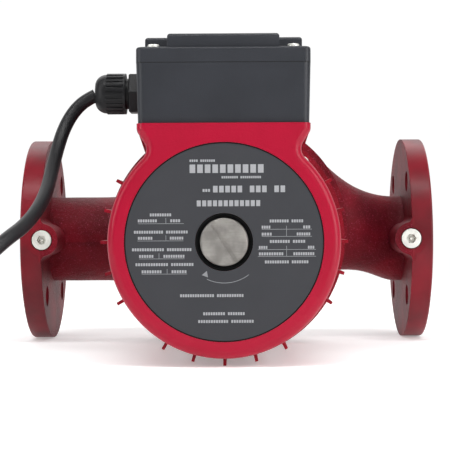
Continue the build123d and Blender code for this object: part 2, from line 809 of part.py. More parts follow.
floor_top = box_bottom + box_wall
with BuildPart() as box_fixing_screws:
    with BuildSketch(Plane.XY.offset(floor_top)):
        with Locations(*fixing_places):
            Circle(fixing_head_r)
    extrude(amount=fixing_head_t)
    with BuildSketch(Plane.XY.offset(floor_top)):
        with Locations(*fixing_places):
            Circle(fixing_r)
    extrude(amount=-fixing_length)
    with BuildSketch(Plane.XY.offset(floor_top + fixing_head_t)):
        with Locations(*fixing_places):
            Rectangle(5, 1)
            Rectangle(1, 5)
    extrude(amount=-1.3, mode=Mode.SUBTRACT)
finish(box_fixing_screws, "box_fixing_screws")

# Terminal block on the floor of the box, with a screw and a wire entry for each way
block_ways = 5
block_pitch = 9.0
block_d = 20.0
block_h = 16.0
block_y = box_front + 42.0
way_places = [((i - (block_ways - 1) / 2) * block_pitch + 6, block_y) for i in range(block_ways)]

with BuildPart() as terminal_block:
    with BuildSketch(Plane.XY.offset(floor_top)):
        with Locations(*way_places):
            Rectangle(block_pitch, block_d)
    extrude(amount=block_h)
    with BuildSketch(facing(block_y + block_d / 2)):
        with Locations(*[(x, floor_top + 5) for x, _ in way_places]):
            Circle(2.2)
    extrude(amount=block_d, mode=Mode.SUBTRACT)
    with BuildSketch(Plane.XY.offset(floor_top + block_h)):
        with Locations(*way_places):
            Circle(2.6)
    extrude(amount=-block_h + 9, mode=Mode.SUBTRACT)
finish(terminal_block, "terminal_block")

with BuildPart() as terminal_screws:
    with BuildSketch(Plane.XY.offset(floor_top + 9)):
        with Locations(*way_places):
            Circle(2.4)
    extrude(amount=4)
    with BuildSketch(Plane.XY.offset(floor_top + 13)):
        with Locations(*way_places):
            Rectangle(4, 0.8)
    extrude(amount=-1.2, mode=Mode.SUBTRACT)
finish(terminal_screws, "terminal_screws")

# Run capacitor across the back of the box, held down by a clip
capacitor_r = 13.0
capacitor_length = 58.0
capacitor_y = box_back - 24.0
clip_t = 1.2
capacitor_z = floor_top + capacitor_r + clip_t

with BuildPart() as run_capacitor:
    with BuildSketch(Plane.YZ.offset(-capacitor_length / 2)):
        with Locations((capacitor_y, capacitor_z)):
            Circle(capacitor_r)
    extrude(amount=capacitor_length)
    fillet(run_capacitor.edges().filter_by(GeomType.CIRCLE), 1.5)
finish(run_capacitor, "run_capacitor")

with BuildPart() as capacitor_clip:
    with BuildSketch(Plane.YZ.offset(-5)):
        with Locations((capacitor_y, capacitor_z)):
            Circle(capacitor_r + clip_t)
        with Locations((capacitor_y, floor_top)):
            Rectangle(2 * (capacitor_r + clip_t), capacitor_r + clip_t, align=(Align.CENTER, Align.MIN))
        with Locations((capacitor_y, capacitor_z)):
            Circle(capacitor_r, mode=Mode.SUBTRACT)
        with Locations((capacitor_y, floor_top + clip_t)):
            Rectangle(2 * capacitor_r, capacitor_r, align=(Align.CENTER, Align.MIN), mode=Mode.SUBTRACT)
    extrude(amount=10)
finish(capacitor_clip, "capacitor_clip")

with BuildPart() as earth_screw:
    with BuildSketch(Plane.XY.offset(floor_top)):
        with Locations((-24, box_front + 42)):
            RegularPolygon(3.5, 6, major_radius=False)
    extrude(amount=3)
    with BuildSketch(Plane.XY.offset(floor_top + 3)):
        with Locations((-24, box_front + 42)):
            Circle(3)
    extrude(amount=1.2)
finish(earth_screw, "earth_screw")

# ---------------------------------------------------------------- cable gland

gland_axis = Axis((0, gland_y, gland_z), (1, 0, 0))
cable_r = cable_d / 2
bore_r = cable_r + gland_bore_clear
neck_face = gland_face - gland_base_t
nut_face = neck_face - gland_neck_t
dome_face = nut_face - gland_nut_t


def gland_turn(*points, mode=Mode.ADD):
    """Sweeps a closed outline of (x, radius) points about the gland's axis."""
    with BuildSketch(Plane(origin=(0, gland_y, gland_z), z_dir=(0, -1, 0), x_dir=(1, 0, 0))) as outline:
        Polygon(*points, align=None)
    revolve(outline.sketch, axis=gland_axis, mode=mode)


with BuildPart() as gland_body:
    with BuildSketch(Plane.YZ.offset(neck_face)):
        with Locations((gland_y, gland_z)):
            RegularPolygon(gland_af / 2, 6, major_radius=False)
    extrude(amount=gland_base_t)
    chamfer(gland_body.faces().sort_by(Axis.X)[0].edges(), 0.6)
    inside = gland_face + box_wall + locknut_t + 2
    stub = nut_face - 6
    gland_turn((gland_face, 0), (inside, 0), (inside, gland_thread_r), (gland_face, gland_thread_r))
    gland_turn((stub, 0), (neck_face, 0), (neck_face, gland_neck_r), (stub, gland_neck_r))
    gland_turn((stub - 1, 0), (inside + 1, 0), (inside + 1, bore_r), (stub - 1, bore_r), mode=Mode.SUBTRACT)
finish(gland_body, "gland_body")

with BuildPart() as gland_locknut:
    with BuildSketch(Plane.YZ.offset(gland_face + box_wall + 1)):
        with Locations((gland_y, gland_z)):
            RegularPolygon(gland_af / 2, 6, major_radius=False)
            Circle(gland_thread_r, mode=Mode.SUBTRACT)
    extrude(amount=locknut_t)
finish(gland_locknut, "gland_locknut")

with BuildPart() as gland_seal:
    seal_front = dome_face - 2
    gland_turn((seal_front, cable_r), (stub, cable_r), (stub, gland_neck_r - 0.4), (seal_front, bore_r + 2))
finish(gland_seal, "gland_seal")

with BuildPart() as gland_nut:
    gland_turn((dome_face, 0), (nut_face, 0), (nut_face, gland_nut_r), (dome_face, gland_nut_r))
    with BuildSketch(Plane.YZ.offset(dome_face)):
        with Locations((gland_y, gland_z)):
            with PolarLocations(gland_nut_r, gland_rib_count):
                Rectangle(1.1, 1.5)
    extrude(amount=gland_nut_t - 1.4, mode=Mode.SUBTRACT)
    dome = []
    for angle in range(0, 91, 15):
        along = gland_dome_t * math.sin(math.radians(angle))
        out = (gland_dome_r - gland_mouth_r) * math.cos(math.radians(angle))
        dome.append((dome_face - along, gland_mouth_r + out))
    gland_turn((gland_end, 0), (dome_face, 0), *dome)
    inner_r = gland_neck_r + 0.2
    open_end = nut_face + 1
    gland_turn((seal_front, 0), (open_end, 0), (open_end, inner_r), (seal_front, inner_r), mode=Mode.SUBTRACT)
    mouth = gland_end - 1
    gland_turn((mouth, 0), (nut_face, 0), (nut_face, bore_r), (mouth, bore_r), mode=Mode.SUBTRACT)
finish(gland_nut, "gland_nut")

# ---------------------------------------------------------------- mains cable

# The route from the gland's mouth, forwards and down past the inlet flange, to the floor
cable_route = [
    (gland_end, gland_y, gland_z - cable_sag),
    (-82.6, -155.9, 85.2),
    (-88.1, -157.2, 80.5),
    (-92.6, -160.0, 73.8),
    (-96.0, -164.6, 65.4),
    (-98.1, -171.4, 55.8),
    (-99.4, -181.0, 45.6),
    (-100.1, -192.6, 35.8),
    (-101.0, -205.6, 26.3),
    (-104.0, -218.6, 17.3),
    (-109.4, -231.0, 8.9),
    (-116.8, -242.5, 2.3),
    (-125.0, -252.0, -6.4),
    (-134.4, -258.2, -17.0),
    (-145.0, -261.0, -29.0),
    (-156.6, -260.6, -40.6),
    (-169.0, -256.8, -50.6),
    (-182.4, -250.4, -57.4),
    (-196.0, -243.8, -60.4),
]
# The free end leaves the coil on its far side and carries the plug
tail_route = [
    (-256.0, -178.0, -58.0),
    (-252.4, -162.5, -57.4),
    (-247.6, -147.4, -55.2),
    (-241.2, -133.0, -52.8),
    (-233.6, -119.4, -51.9),
    (-226.4, -107.0, -51.9),
]


def corner_radii(route):
    """The largest arc that each corner of a route has room for, with the runs beside it."""
    points = [Vector(*p) for p in route]
    radii = []
    for before, corner, after in zip(points, points[1:], points[2:]):
        shorter = min((corner - before).length, (after - corner).length)
        half_turn = math.radians((corner - before).get_angle(after - corner)) / 2
        radii.append(0.45 * shorter / math.tan(half_turn))
    return radii


def cable_along(route):
    """The straight runs and tangent arcs of a route, and the cable's round section at its start."""
    with BuildLine() as path:
        FilletPolyline(*route, radius=corner_radii(route))
    wire = path.wires()[0]
    start = Plane(origin=wire @ 0, z_dir=wire % 0)
    with BuildSketch(start) as section:
        Circle(cable_r)
    return wire, section.sketch


for name, route in (("power_cable", cable_route), ("cable_tail", tail_route)):
    route_line, route_section = cable_along(route)
    with BuildPart() as cable_piece:
        sweep(route_section, path=route_line)
    plain_volume = math.pi * cable_r**2 * route_line.length
    print(name, "radii", [round(r, 1) for r in corner_radii(route)])
    print(name, "length", round(route_line.length, 1), "volume ratio", cable_piece.part.volume / plain_volume)
    finish(cable_piece, name)

coil_centre = Plane(origin=(coil_x, coil_y, 0), x_dir=(1, 0, 0), z_dir=(0, -1, 0))
with BuildPart() as cable_coil:
    with BuildSketch(coil_centre):
        with Locations((coil_r, coil_z)):
            RectangleRounded(coil_turns_wide * cable_d, coil_turns_high * cable_d, cable_r * 0.9)
    revolve(axis=Axis((coil_x, coil_y, 0), (0, 0, 1)))
finish(cable_coil, "cable_coil")

tie_turn = math.degrees(tie_w / coil_r)
with BuildPart() as cable_tie:
    with BuildSketch(coil_centre):
        with Locations((coil_r, coil_z)):
            wide = coil_turns_wide * cable_d
            high = coil_turns_high * cable_d
            RectangleRounded(wide + 2 * tie_t, high + 2 * tie_t, cable_r * 0.9 + tie_t)
            RectangleRounded(wide, high, cable_r * 0.9, mode=Mode.SUBTRACT)
        with Locations((coil_r, floor_z)):
            Rectangle(2 * coil_r, tie_t, align=(Align.CENTER, Align.MAX), mode=Mode.SUBTRACT)
    revolve(axis=Axis((coil_x, coil_y, 0), (0, 0, 1)), revolution_arc=tie_turn)
finish(cable_tie, "cable_tie")

# ---------------------------------------------------------------- mains plug, beside the coil

tail_end = Vector(*tail_route[-1])
plug_way = (tail_end - Vector(*tail_route[-2])).normalized()
plug_seat = Plane(origin=tail_end, z_dir=plug_way, x_dir=Vector(0, 0, 1).cross(plug_way))

with BuildPart() as plug_body:
    with BuildSketch(plug_seat):
        Circle(cable_r + 1.6)
    with BuildSketch(plug_seat.offset(14)):
        Circle(cable_r + 3.4)
    with BuildSketch(plug_seat.offset(20)):
        Circle(plug_r - 4)
    loft(ruled=True)
    with BuildSketch(plug_seat.offset(20)):
        Circle(plug_r)
    extrude(amount=plug_length - 20)
    with BuildSketch(plug_seat.offset(plug_length)):
        with Locations((-plug_pin_pitch / 2, 0), (plug_pin_pitch / 2, 0)):
            Circle(plug_pin_r)
    extrude(amount=-plug_pin_seat, mode=Mode.SUBTRACT)
finish(plug_body, "plug_body")

with BuildPart() as plug_pins:
    with BuildSketch(plug_seat.offset(plug_length - plug_pin_seat)):
        with Locations((-plug_pin_pitch / 2, 0), (plug_pin_pitch / 2, 0)):
            Circle(plug_pin_r)
    extrude(amount=plug_pin_length + plug_pin_seat)
finish(plug_pins, "plug_pins")
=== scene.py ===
import json
import math

import bmesh
import bpy
from mathutils import Matrix, Vector


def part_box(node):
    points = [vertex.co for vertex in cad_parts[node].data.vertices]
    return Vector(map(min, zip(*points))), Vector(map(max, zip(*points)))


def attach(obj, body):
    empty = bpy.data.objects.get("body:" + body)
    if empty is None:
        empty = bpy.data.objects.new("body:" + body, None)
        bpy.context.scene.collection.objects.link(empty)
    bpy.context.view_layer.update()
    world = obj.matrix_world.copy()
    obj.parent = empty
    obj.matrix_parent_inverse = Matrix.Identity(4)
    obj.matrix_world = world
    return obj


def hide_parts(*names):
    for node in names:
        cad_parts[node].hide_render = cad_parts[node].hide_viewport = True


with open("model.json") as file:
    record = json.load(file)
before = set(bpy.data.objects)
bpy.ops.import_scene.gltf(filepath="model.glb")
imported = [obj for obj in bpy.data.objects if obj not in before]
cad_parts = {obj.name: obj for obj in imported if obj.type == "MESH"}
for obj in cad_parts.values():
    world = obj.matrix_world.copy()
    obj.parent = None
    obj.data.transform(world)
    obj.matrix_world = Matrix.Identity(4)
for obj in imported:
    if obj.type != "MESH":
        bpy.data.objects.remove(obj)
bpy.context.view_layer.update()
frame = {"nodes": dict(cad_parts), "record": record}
NODES = frame["nodes"]

# ------------------------------------------------------------------ sizes, in metres

MM = 0.001
CABLE_D = 8 * MM
COIL_X, COIL_Y = -205 * MM, -190 * MM
COIL_TURNS = {"start": -80.0, "end": -1273.4, "step": 12.0}
FLOOR_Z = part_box("pump_casing")[0].z

# ------------------------------------------------------------------ camera

CAMERA_DISTANCE = 0.965
CAMERA_HEIGHT = 0.0095
CAMERA_LENS = 107.8
AIM_X = -0.00143
CAMERA_SIDE = 0.009
CAMERA_ROLL = -0.28


def make_camera():
    camera = bpy.data.objects.new("camera", bpy.data.cameras.new("camera"))
    bpy.context.scene.collection.objects.link(camera)
    camera.data.lens = CAMERA_LENS
    camera.data.sensor_width = 36
    camera.data.clip_start = 0.05
    place = Vector((AIM_X + CAMERA_SIDE, -CAMERA_DISTANCE, CAMERA_HEIGHT))
    aim = Vector((AIM_X, 0, CAMERA_HEIGHT))
    turn = (aim - place).to_track_quat("-Z", "Y").to_matrix().to_4x4()
    roll = Matrix.Rotation(math.radians(CAMERA_ROLL), 4, "Z")
    camera.matrix_world = Matrix.Translation(place) @ turn @ roll
    bpy.context.scene.camera = camera


make_camera()

# ------------------------------------------------------------------ the mains cable

CABLE_ROUTE = [
    (-77.3, -155.5, 87.8),
    (-82.6, -155.9, 85.2),
    (-88.1, -157.2, 80.5),
    (-92.6, -160.0, 73.8),
    (-96.0, -164.6, 65.4),
    (-98.1, -171.4, 55.8),
    (-99.4, -181.0, 45.6),
    (-100.1, -192.6, 35.8),
    (-101.0, -205.6, 26.3),
    (-104.0, -218.6, 17.3),
    (-109.4, -231.0, 8.9),
    (-116.8, -242.5, 2.3),
    (-125.0, -252.0, -6.4),
    (-134.4, -258.2, -17.0),
    (-145.0, -261.0, -29.0),
    (-156.6, -260.6, -40.6),
    (-169.0, -256.8, -50.6),
    (-182.4, -250.4, -57.4),
    (-196.0, -243.8, -60.4),
]
TAIL_ROUTE = [
    (-256.0, -178.0, -58.0),
    (-252.4, -162.5, -57.4),
    (-247.6, -147.4, -55.2),
    (-241.2, -133.0, -52.8),
    (-233.6, -119.4, -51.9),
    (-226.4, -107.0, -51.9),
]


def eased(angle, start, end):
    """0 before start and 1 after end, for angles that fall as the cable is wound."""
    t = min(max((start - angle) / (start - end), 0), 1)
    return t * t * (3 - 2 * t)


def coil_points():
    """The turns of the coil: two side by side on the floor and the rest on top of them."""
    points = []
    outer, inner, low, high = 52 * MM, 44 * MM, FLOOR_Z + CABLE_D / 2, FLOOR_Z + 1.5 * CABLE_D
    angle = COIL_TURNS["start"] - 22
    while angle > COIL_TURNS["end"] + 6:
        inwards = eased(angle, -380, -430)
        upwards = eased(angle, -695, -745)
        outwards = eased(angle, -1190, -1235)
        radius = outer + (inner - outer) * (inwards - outwards)
        entry = 4 * MM * (1 - eased(angle, -92, -140))
        z = low + (high - low) * upwards + entry
        a = math.radians(angle)
        points.append((COIL_X + radius * math.cos(a), COIL_Y + radius * math.sin(a), z))
        angle -= COIL_TURNS["step"] * 2
    return points


def metres(route):
    return [tuple(c * MM for c in p) for p in route]


def make_cable():
    """The cable from the gland to the plug, as one smooth tube, and the line that it follows."""
    points = metres(CABLE_ROUTE) + coil_points() + metres(TAIL_ROUTE)
    curve = bpy.data.curves.new("cable_line", "CURVE")
    curve.dimensions = "3D"
    spline = curve.splines.new("NURBS")
    spline.points.add(len(points) - 1)
    for point, place in zip(spline.points, points):
        point.co = (*place, 1)
    spline.order_u = 3
    spline.use_endpoint_u = True
    spline.resolution_u = 8
    line = bpy.data.objects.new("cable_line", curve)
    bpy.context.scene.collection.objects.link(line)
    centreline = [tuple(v.co) for v in bpy.data.meshes.new_from_object(line).vertices]
    curve.bevel_depth = CABLE_D / 2
    curve.bevel_resolution = 6
    curve.use_fill_caps = True
    bpy.context.view_layer.update()
    tube = bpy.data.meshes.new_from_object(line.evaluated_get(bpy.context.evaluated_depsgraph_get()))
    bpy.data.objects.remove(line)
    tube.shade_smooth()
    cable = bpy.data.objects.new("mains_cable", tube)
    bpy.context.scene.collection.objects.link(cable)
    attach(cable, "pump")
    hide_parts("power_cable", "cable_coil", "cable_tail")
    return cable, centreline


mains_cable, cable_line = make_cable()

# ------------------------------------------------------------------ mesh helpers


def new_piece(name, bm, body, replaced=(), smooth_angle=35):
    """Makes a finished mesh into a piece that rides on a body."""
    mesh = bpy.data.meshes.new(name)
    bm.to_mesh(mesh)
    bm.free()
    piece = bpy.data.objects.new(name, mesh)
    bpy.context.scene.collection.objects.link(piece)
    mesh.shade_smooth()
    mesh.set_sharp_from_angle(angle=math.radians(smooth_angle))
    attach(piece, body)
    if replaced:
        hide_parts(*replaced)
    return piece


def copy_of(node, flat_within=0.6):
    """A clean copy of a CAD node's mesh, with its flat faces whole again."""
    bm = bmesh.new()
    bm.from_mesh(NODES[node].data)
    bmesh.ops.remove_doubles(bm, verts=bm.verts, dist=0.002 * MM)
    bmesh.ops.dissolve_limit(
        bm, angle_limit=math.radians(flat_within), verts=bm.verts, edges=bm.edges, delimit={"NORMAL"}
    )
    return bm


def eased_edges(node, width, body="pump", segments=2, angle=32):
    """A CAD node again with its sharp edges broken, as moulding, casting and deburring leave them."""
    piece = new_piece(f"{node}_finished", copy_of(node), body, [node])
    bevel = piece.modifiers.new("edges", "BEVEL")
    bevel.width = width
    bevel.segments = segments
    bevel.limit_method = "ANGLE"
    bevel.angle_limit = math.radians(angle)
    bevel.miter_outer = "MITER_ARC"
    bevel.harden_normals = True
    return piece


# ------------------------------------------------------------------ softened edges

EASED = {
    "stator_housing": 0.4,
    "terminal_box_base": 0.35,
    "terminal_box_lid": 0.35,
    "gland_body": 0.35,
    "gland_nut": 0.25,
    "gauge_plugs": 0.3,
    "joint_bolts": 0.3,
    "lid_screws": 0.12,
}
finished = {node: eased_edges(node, width * MM) for node, width in EASED.items()}

# ------------------------------------------------------------------ print on the rating plate

PLATE_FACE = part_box("nameplate")[0].y
PRINT_T = 0.05 * MM
LINE_W = 0.28 * MM
LONG_ROW = 16.5 * MM
ARROW_R, ARROW_FROM, ARROW_SWEEP = 22.8 * MM, -53, 62

# The print is laid out in millimetres from the plate's middle.
# Large rows: left end, right end, middle height, row height, pitch of the blocks, gaps
LARGE_ROWS = [
    (-19.0, -4.6, 45.4, 1.3, 1.2, (0.35,)),
    (-19.0, 23.3, 40.9, 4.7, 4.2, ()),
    (-1.2, 21.0, 36.1, 1.3, 1.2, (0.4,)),
    (-11.8, -7.3, 28.8, 1.6, 1.3, ()),
    (-6.0, 35.0, 29.5, 3.7, 3.4, (0.42, 0.78)),
    (-15.1, 21.0, 21.6, 3.3, 3.0, ()),
]
# Small rows: left end, right end, middle height
HEADINGS = [
    (-41.3, -29.1, 15.3), (-50.2, -19.9, 5.7), (-51.3, -17.9, -4.1), (-49.4, -16.8, -12.4),
    (25.5, 44.4, 11.6), (25.5, 45.5, 0.2), (22.7, 47.2, -11.2),
    (-24.6, 11.0, -29.8), (-11.8, 11.6, -39.9), (-14.6, 16.6, -44.2),
]
# Values either side of a divider: height, ends of the first value, ends of the second
VALUES = [
    (12.0, -48.0, -37.1, -29.9, -24.1),
    (2.3, -48.0, -39.6, -30.2, -22.4),
    (-7.8, -47.4, -39.1, -33.8, -21.8),
    (-16.4, -46.0, -34.6, -29.3, -20.7),
    (8.2, 21.0, 26.1, 44.1, 48.3),
    (4.3, 21.0, 26.9, 40.5, 48.3),
    (-3.1, 19.4, 24.4, 46.7, 50.5),
    (-6.7, 19.4, 33.3, 38.6, 50.5),
]
# Rules: left end, right end, height
RULES = [
    (-48.0, -22.4, 10.4), (-48.3, -22.7, 0.8), (-47.4, -22.1, -9.2), (-46.0, -20.7, -17.7),
    (21.0, 48.9, 7.0), (21.0, 48.9, 3.0), (18.8, 51.1, -4.3), (18.8, 51.1, -8.1),
]
# Dividers: place across, bottom, top
DIVIDERS = [
    (-32.4, 10.6, 13.6), (-32.4, 1.0, 3.9), (-36.3, -9.0, -6.1), (-31.8, -17.5, -14.8),
    (34.8, 3.0, 8.9), (34.8, -8.1, -2.2),
]


def mark(bm, left, right, bottom, top):
    """A flat printed bar on the plate, between four lines."""
    middle = Matrix.Translation(((left + right) / 2, PLATE_FACE - PRINT_T / 2, (bottom + top) / 2))
    size = Matrix.Diagonal((right - left, PRINT_T, top - bottom, 1))
    bmesh.ops.create_cube(bm, size=1, matrix=middle @ size)


def row(bm, left, right, middle, height, pitch, gaps=()):
    """A row of blank blocks in place of words, with gaps at the given shares of its length."""
    count = max(1, round((right - left) / pitch))
    step = (right - left) / count
    breaks = {round(share * count) for share in gaps}
    for i in range(count):
        if i not in breaks:
            start = left + i * step
            mark(bm, start, start + 0.74 * step, middle - height / 2, middle + height / 2)


def small_row(bm, left, right, middle):
    gaps = (0.55,) if right - left > LONG_ROW else ()
    row(bm, left, right, middle, 1.6 * MM, 1.39 * MM, gaps)


def print_rows():
    """Heading rows and small rows of blank blocks."""
    bm = bmesh.new()
    for *sizes, gaps in LARGE_ROWS:
        row(bm, *[size * MM for size in sizes], gaps)
    for left, right, middle in HEADINGS:
        small_row(bm, left * MM, right * MM, middle * MM)
    for middle, *ends in VALUES:
        small_row(bm, ends[0] * MM, ends[1] * MM, middle * MM)
        small_row(bm, ends[2] * MM, ends[3] * MM, middle * MM)
    return new_piece("plate_rows", bm, "pump")


def print_rules():
    """The thin rules and dividers between the rows, and the arrow for the turning direction."""
    bm = bmesh.new()
    half = LINE_W / 2
    for left, right, height in RULES:
        mark(bm, left * MM, right * MM, height * MM - half, height * MM + half)
    for across, bottom, top in DIVIDERS:
        mark(bm, across * MM - half, across * MM + half, bottom * MM, top * MM)
    start = math.radians(ARROW_FROM)
    radii = (ARROW_R - 0.17 * MM, ARROW_R + 0.17 * MM)
    ends = [bm.verts.new((r * math.cos(start), PLATE_FACE - PRINT_T, r * math.sin(start))) for r in radii]
    line = bm.edges.new(ends)
    bmesh.ops.spin(
        bm, geom=[*ends, line], cent=(0, 0, 0), axis=(0, 1, 0), angle=math.radians(ARROW_SWEEP),
        steps=24, use_merge=False
    )
    head = Matrix.Translation((-10.4 * MM, PLATE_FACE - PRINT_T / 2, -18.0 * MM))
    head = head @ Matrix.Rotation(math.radians(140), 4, "Y") @ Matrix.Rotation(math.radians(90), 4, "X")
    bmesh.ops.create_cone(
        bm, cap_ends=True, segments=3, radius1=2.1 * MM, radius2=2.1 * MM, depth=PRINT_T, matrix=head
    )
    return new_piece("plate_rules", bm, "pump")


def lathe(name, profile, body, steps=96, centre=(0, 0, 0), axis=(0, 1, 0), smooth_angle=35):
    """Turns a closed outline of (x, y) points about an axis."""
    bm = bmesh.new()
    corners = [bm.verts.new((x, y, 0)) for x, y in profile]
    lines = [bm.edges.new((a, b)) for a, b in zip(corners, corners[1:] + corners[:1])]
    bmesh.ops.spin(
        bm, geom=[*corners, *lines], cent=centre, axis=axis, angle=math.tau, steps=steps, use_merge=True
    )
    bmesh.ops.remove_doubles(bm, verts=bm.verts, dist=0.001 * MM)
    bmesh.ops.recalc_face_normals(bm, faces=bm.faces)
    return new_piece(name, bm, body, smooth_angle=smooth_angle)


plate_rows = print_rows()
plate_rules = print_rules()

# ------------------------------------------------------------------ black rubber ring in the well round the vent plug, as painted shade

WELL_R = 16.15 * MM
DISC_R = 13.3 * MM
RING_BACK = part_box("motor_end_cover")[1].y
RING_FRONT = PLATE_FACE + 0.5 * MM
# A black rubber ring lining the well round the vent plug; its black also stands in for the deep shade in the
# well.
vent_shade_ring = lathe(
    "vent_shade_ring",
    [
        (DISC_R + 0.35 * MM, RING_BACK - 0.3 * MM),
        (WELL_R, RING_BACK - 0.3 * MM),
        (WELL_R, RING_FRONT + 0.2 * MM),
        (WELL_R - 0.25 * MM, RING_FRONT),
        (WELL_R - 0.6 * MM, RING_FRONT + 0.3 * MM),
        (WELL_R - 0.9 * MM, RING_FRONT + 1.6 * MM),
        (DISC_R + 0.9 * MM, RING_FRONT + 2.2 * MM),
        (DISC_R + 0.35 * MM, RING_FRONT + 2.8 * MM),
    ],
    "pump",
)
edge_line = lathe(
    "plate_edge_line",
    [
        (55.1 * MM, PLATE_FACE + 0.1 * MM),
        (55.75 * MM, PLATE_FACE + 0.1 * MM),
        (55.75 * MM, PLATE_FACE - PRINT_T),
        (55.1 * MM, PLATE_FACE - PRINT_T),
    ],
    "pump",
    steps=180,
)

# ------------------------------------------------------------------ shader helpers


class Value:
    """A shader socket that adds, multiplies and compares by adding Math nodes."""

    def __init__(self, maker, socket):
        self.maker = maker
        self.socket = socket

    def _math(self, operation, *others):
        return self.maker.node("ShaderNodeMath", {"operation": operation}, self, *others)

    def __add__(self, other):
        return self._math("ADD", other)

    __radd__ = __add__

    def __mul__(self, other):
        return self._math("MULTIPLY", other)

    __rmul__ = __mul__

    def __sub__(self, other):
        return self._math("SUBTRACT", other)

    def __rsub__(self, other):
        return self.maker.node("ShaderNodeMath", {"operation": "SUBTRACT"}, other, self)

    def __truediv__(self, other):
        return self._math("DIVIDE", other)

    def above(self, edge, width):
        """0 below edge - width and 1 above edge + width."""
        settings = {"clamp": True, "interpolation_type": "SMOOTHSTEP"}
        return self.maker.node("ShaderNodeMapRange", settings, self, edge - width, edge + width)

    def to(self, low, high):
        return self * (high - low) + low

    def size(self):
        """The value without its sign."""
        return self._math("ABSOLUTE")


class Finish:
    """A material with one Principled shader, and short ways to add nodes to it."""

    def __init__(self, name, **constants):
        self.material = bpy.data.materials.new(name)
        self.material.use_nodes = True
        self.tree = self.material.node_tree
        self.shader = self.tree.nodes["Principled BSDF"]
        for socket, value in constants.items():
            self.shader.inputs[socket.replace("_", " ")].default_value = value
        coordinates = self.tree.nodes.new("ShaderNodeTexCoord")
        self.place = Value(self, coordinates.outputs["Object"])

    def node(self, kind, settings, *inputs, output=0, **named):
        made = self.tree.nodes.new(kind)
        for name, value in settings.items():
            setattr(made, name, value)
        for target, value in [*enumerate(inputs), *named.items()]:
            if value is None:
                continue
            socket = made.inputs[target if isinstance(target, int) else target.replace("_", " ")]
            if isinstance(value, Value):
                self.tree.links.new(value.socket, socket)
            else:
                socket.default_value = value
        return Value(self, made.outputs[output])

    def stretched(self, scale):
        return self.node("ShaderNodeMapping", {}, Vector=self.place, Scale=scale)

    def noise(self, size, detail=3.0, rough=0.55, place=None):
        """Cloudy variation from 0 to 1 about as large as size, in metres."""
        return self.node(
            "ShaderNodeTexNoise", {}, Vector=place or self.place, Scale=1 / size,
            Detail=detail, Roughness=rough
        )

    def cells(self, size, feature="F1", place=None):
        return self.node(
            "ShaderNodeTexVoronoi", {"feature": feature}, Vector=place or self.place, Scale=1 / size
        )

    def axis(self, name):
        return self.node("ShaderNodeSeparateXYZ", {}, self.place, output="XYZ".index(name))

    def mix(self, share, low, high):
        settings = {"data_type": "RGBA"}
        return self.node("ShaderNodeMix", settings, share, None, None, None, None, None, low, high, output=2)

    def bump(self, height, depth, strength=1.0, over=None):
        return self.node(
            "ShaderNodeBump", {}, Height=height, Distance=depth, Strength=strength, Normal=over
        )

    def set(self, **links):
        for socket, value in links.items():
            self.tree.links.new(value.socket, self.shader.inputs[socket.replace("_", " ")])
        return self.material


def colour(red, green, blue):
    """A display colour from 0 to 255 as the linear colour that a shader takes."""
    shares = [c / 255 for c in (red, green, blue)]
    return (*[c / 12.92 if c <= 0.04045 else ((c + 0.055) / 1.055) ** 2.4 for c in shares], 1.0)


# ------------------------------------------------------------------ finishes


def cast_paint(name, main, dark, light, grain, rough, machined=1.0):
    """Thin paint over sand-cast iron: grains show through, the grain tops carry painted glints in the light
    colour, and the pit hollows carry painted shade in the dark colour.
    """
    f = Finish(name, Specular_IOR_Level=0.16, Coat_Roughness=0.3)
    sand = f.noise(grain, 5, 0.62)
    lumps = f.noise(grain * 5, 3, 0.5)
    patches = f.noise(40 * MM, 3, 0.5)
    pits = f.cells(grain * 2.2)
    cast = 1 - f.axis("X").size().above(machined, 0.4 * MM)
    tone = f.mix(patches.above(0.5, 0.2), main, dark)
    # Painted highlight: glints in the light colour on the high spots of the sand grain.
    tone = f.mix(sand.above(0.62, 0.06) * cast * 0.6, tone, light)
    # Painted shade: the pit hollows are darkened in the dark colour.
    tone = f.mix((1 - pits.above(0.22, 0.14)) * cast * 0.5, tone, dark)
    height = (sand * 0.8 + lumps * 1.1 + pits * 0.35) * (cast * 0.93 + 0.07)
    return f.set(
        Base_Color=tone,
        Roughness=sand.to(rough - 0.1, rough + 0.14) + (cast * 0.08 - 0.08),
        Coat_Weight=(1 - cast) * 0.25 + 0.02,
        Normal=f.bump(height, grain * 0.6, 1.0),
    )


def smooth_paint(name, main, dark, rough, peel=0.1, grain=1.2 * MM):
    """Sprayed enamel with a slight orange peel, fine specks in its surface and darker patches at random."""
    f = Finish(name, Specular_IOR_Level=0.22, Coat_Roughness=0.12)
    waves = f.noise(grain, 2, 0.4)
    patches = f.noise(26 * MM, 3, 0.55)
    specks = f.noise(0.5 * MM, 2, 0.5)
    tone = f.mix(patches.above(0.55, 0.2) * 0.5, main, dark)
    return f.set(
        Base_Color=tone,
        Roughness=patches.to(rough - 0.04, rough + 0.08),
        Coat_Weight=patches.to(0.1, 0.05),
        Normal=f.bump(waves + specks * 0.25, peel * MM),
    )


